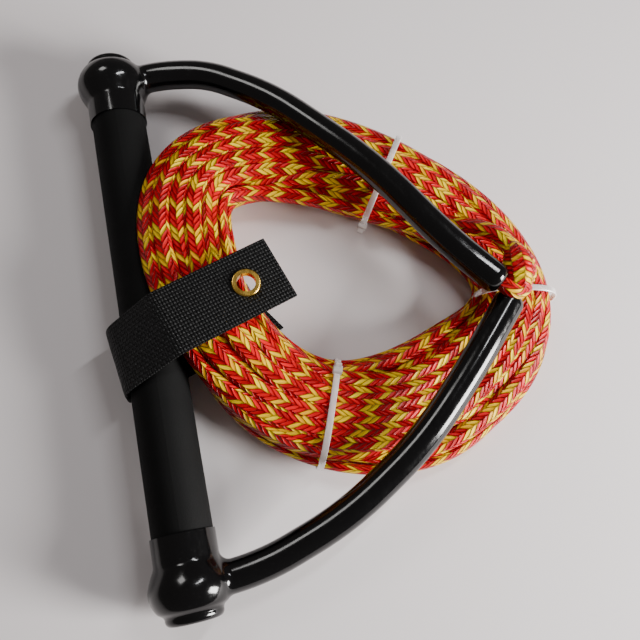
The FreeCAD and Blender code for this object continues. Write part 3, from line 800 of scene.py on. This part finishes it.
ARM = moulded("arm_moulding", (0.0016, 0.0016, 0.0018, 1), (0.012, 0.012, 0.012, 1), (0.09, 0.2), 0.0006,
              IOR=1.5, Specular_IOR_Level=0.5)
PLUG = moulded("cap_plug", (0.006, 0.006, 0.006, 1), (0.02, 0.02, 0.02, 1), (0.25, 0.4), 0.0004)
TUBE = moulded("drawn_tube", (0.55, 0.56, 0.57, 1), (0.4, 0.4, 0.4, 1), (0.25, 0.4), 0.0001, Metallic=1.0)
NYLON = moulded("tie_nylon", (0.86, 0.80, 0.78, 1), (0.8, 0.74, 0.7, 1), (0.28, 0.4), 0.0002,
                Transmission_Weight=0.5, IOR=1.45)
HOOKS = moulded("closure_pile", (0.006, 0.006, 0.006, 1), (0.02, 0.02, 0.02, 1), (0.8, 0.95), 0.0008,
                Sheen_Weight=0.2)

FOAM, foam_tree, foam_shader = new_material("grip_foam", Specular_IOR_Level=0.15)
foam_here = node(foam_tree, "ShaderNodeTexCoord").outputs["Object"]
foam_grain = node(foam_tree, "ShaderNodeTexNoise", {"Vector": foam_here, "Scale": 1500.0, "Detail": 3.0})
foam_cloud = node(foam_tree, "ShaderNodeTexNoise", {"Vector": foam_here, "Scale": 60.0, "Detail": 4.0})
foam_tone = two_tones(foam_tree, foam_cloud.outputs["Fac"], (0.0015, 0.0015, 0.0015), (0.004, 0.004, 0.004))
foam_tree.links.new(foam_tone, foam_shader.inputs["Base Color"])
foam_rough = remap(foam_tree, foam_grain.outputs["Fac"], 0.0, 1.0, 0.62, 0.85)
foam_tree.links.new(foam_rough, foam_shader.inputs["Roughness"])
bumped(foam_tree, foam_shader, 0.0002, foam_grain.outputs["Fac"], 0.5)

BRASS, brass_tree, brass_shader = new_material("eyelet_brass", Metallic=1.0)
brass_here = node(brass_tree, "ShaderNodeTexCoord").outputs["Object"]
brass_worn = use_group(brass_tree, wear, {"Place": brass_here, "Scale": 300.0})
OLD_BRASS, BRIGHT_BRASS = (0.60, 0.34, 0.05, 1), (0.84, 0.56, 0.13, 1)
brass_tone = mix_colour(brass_tree, brass_worn.outputs["Ripple"], OLD_BRASS, BRIGHT_BRASS)
brass_tree.links.new(brass_tone, brass_shader.inputs["Base Color"])
brass_gloss = remap(brass_tree, brass_worn.outputs["Scuff"], 0.3, 0.7, 0.16, 0.34)
brass_tree.links.new(brass_gloss, brass_shader.inputs["Roughness"])

FINISH_OF = {"arm_upper": ARM, "arm_lower": ARM, "core_tube": TUBE, "grip_sleeve": FOAM, "eyelet": BRASS,
             "eyelet_washer": BRASS, "tie_top": NYLON, "tie_right": NYLON, "tie_bottom": NYLON,
             "hook_patch": HOOKS, "loop_patch": HOOKS}
for name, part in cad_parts.items():
    part.data.materials.clear()
    part.data.materials.append(FINISH_OF.get(name, PLUG))
print("finishes on", len(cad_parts), "CAD parts")

for name, band in tie_bands.items():
    dress(band, NYLON, "bundle", stands_for=[name])
dress(sleeve, PLUG, "bundle")

# %% [markdown]
# The floor is plain pale paper. It isn't part of the handle.

# %% Floor
bm = bmesh.new()
bmesh.ops.create_grid(bm, x_segments=1, y_segments=1, size=2.5)
floor_mesh = bpy.data.meshes.new("paper_floor")
bm.to_mesh(floor_mesh)
bm.free()
floor = bpy.data.objects.new("paper_floor", floor_mesh)
bpy.context.scene.collection.objects.link(floor)
floor.location.z = -0.0002
PAPER, paper_tree, paper_shader = new_material("paper", Roughness=0.75, Specular_IOR_Level=0.25)
paper_here = node(paper_tree, "ShaderNodeTexCoord").outputs["Object"]
paper_cloud = node(paper_tree, "ShaderNodeTexNoise", {"Vector": paper_here, "Scale": 3.0, "Detail": 3.0})
SHADED_PAPER, CLEAN_PAPER = (0.74, 0.69, 0.695, 1), (0.80, 0.76, 0.76, 1)
paper_tone = mix_colour(paper_tree, paper_cloud.outputs["Fac"], SHADED_PAPER, CLEAN_PAPER)
paper_tree.links.new(paper_tone, paper_shader.inputs["Base Color"])
floor_mesh.materials.append(PAPER)
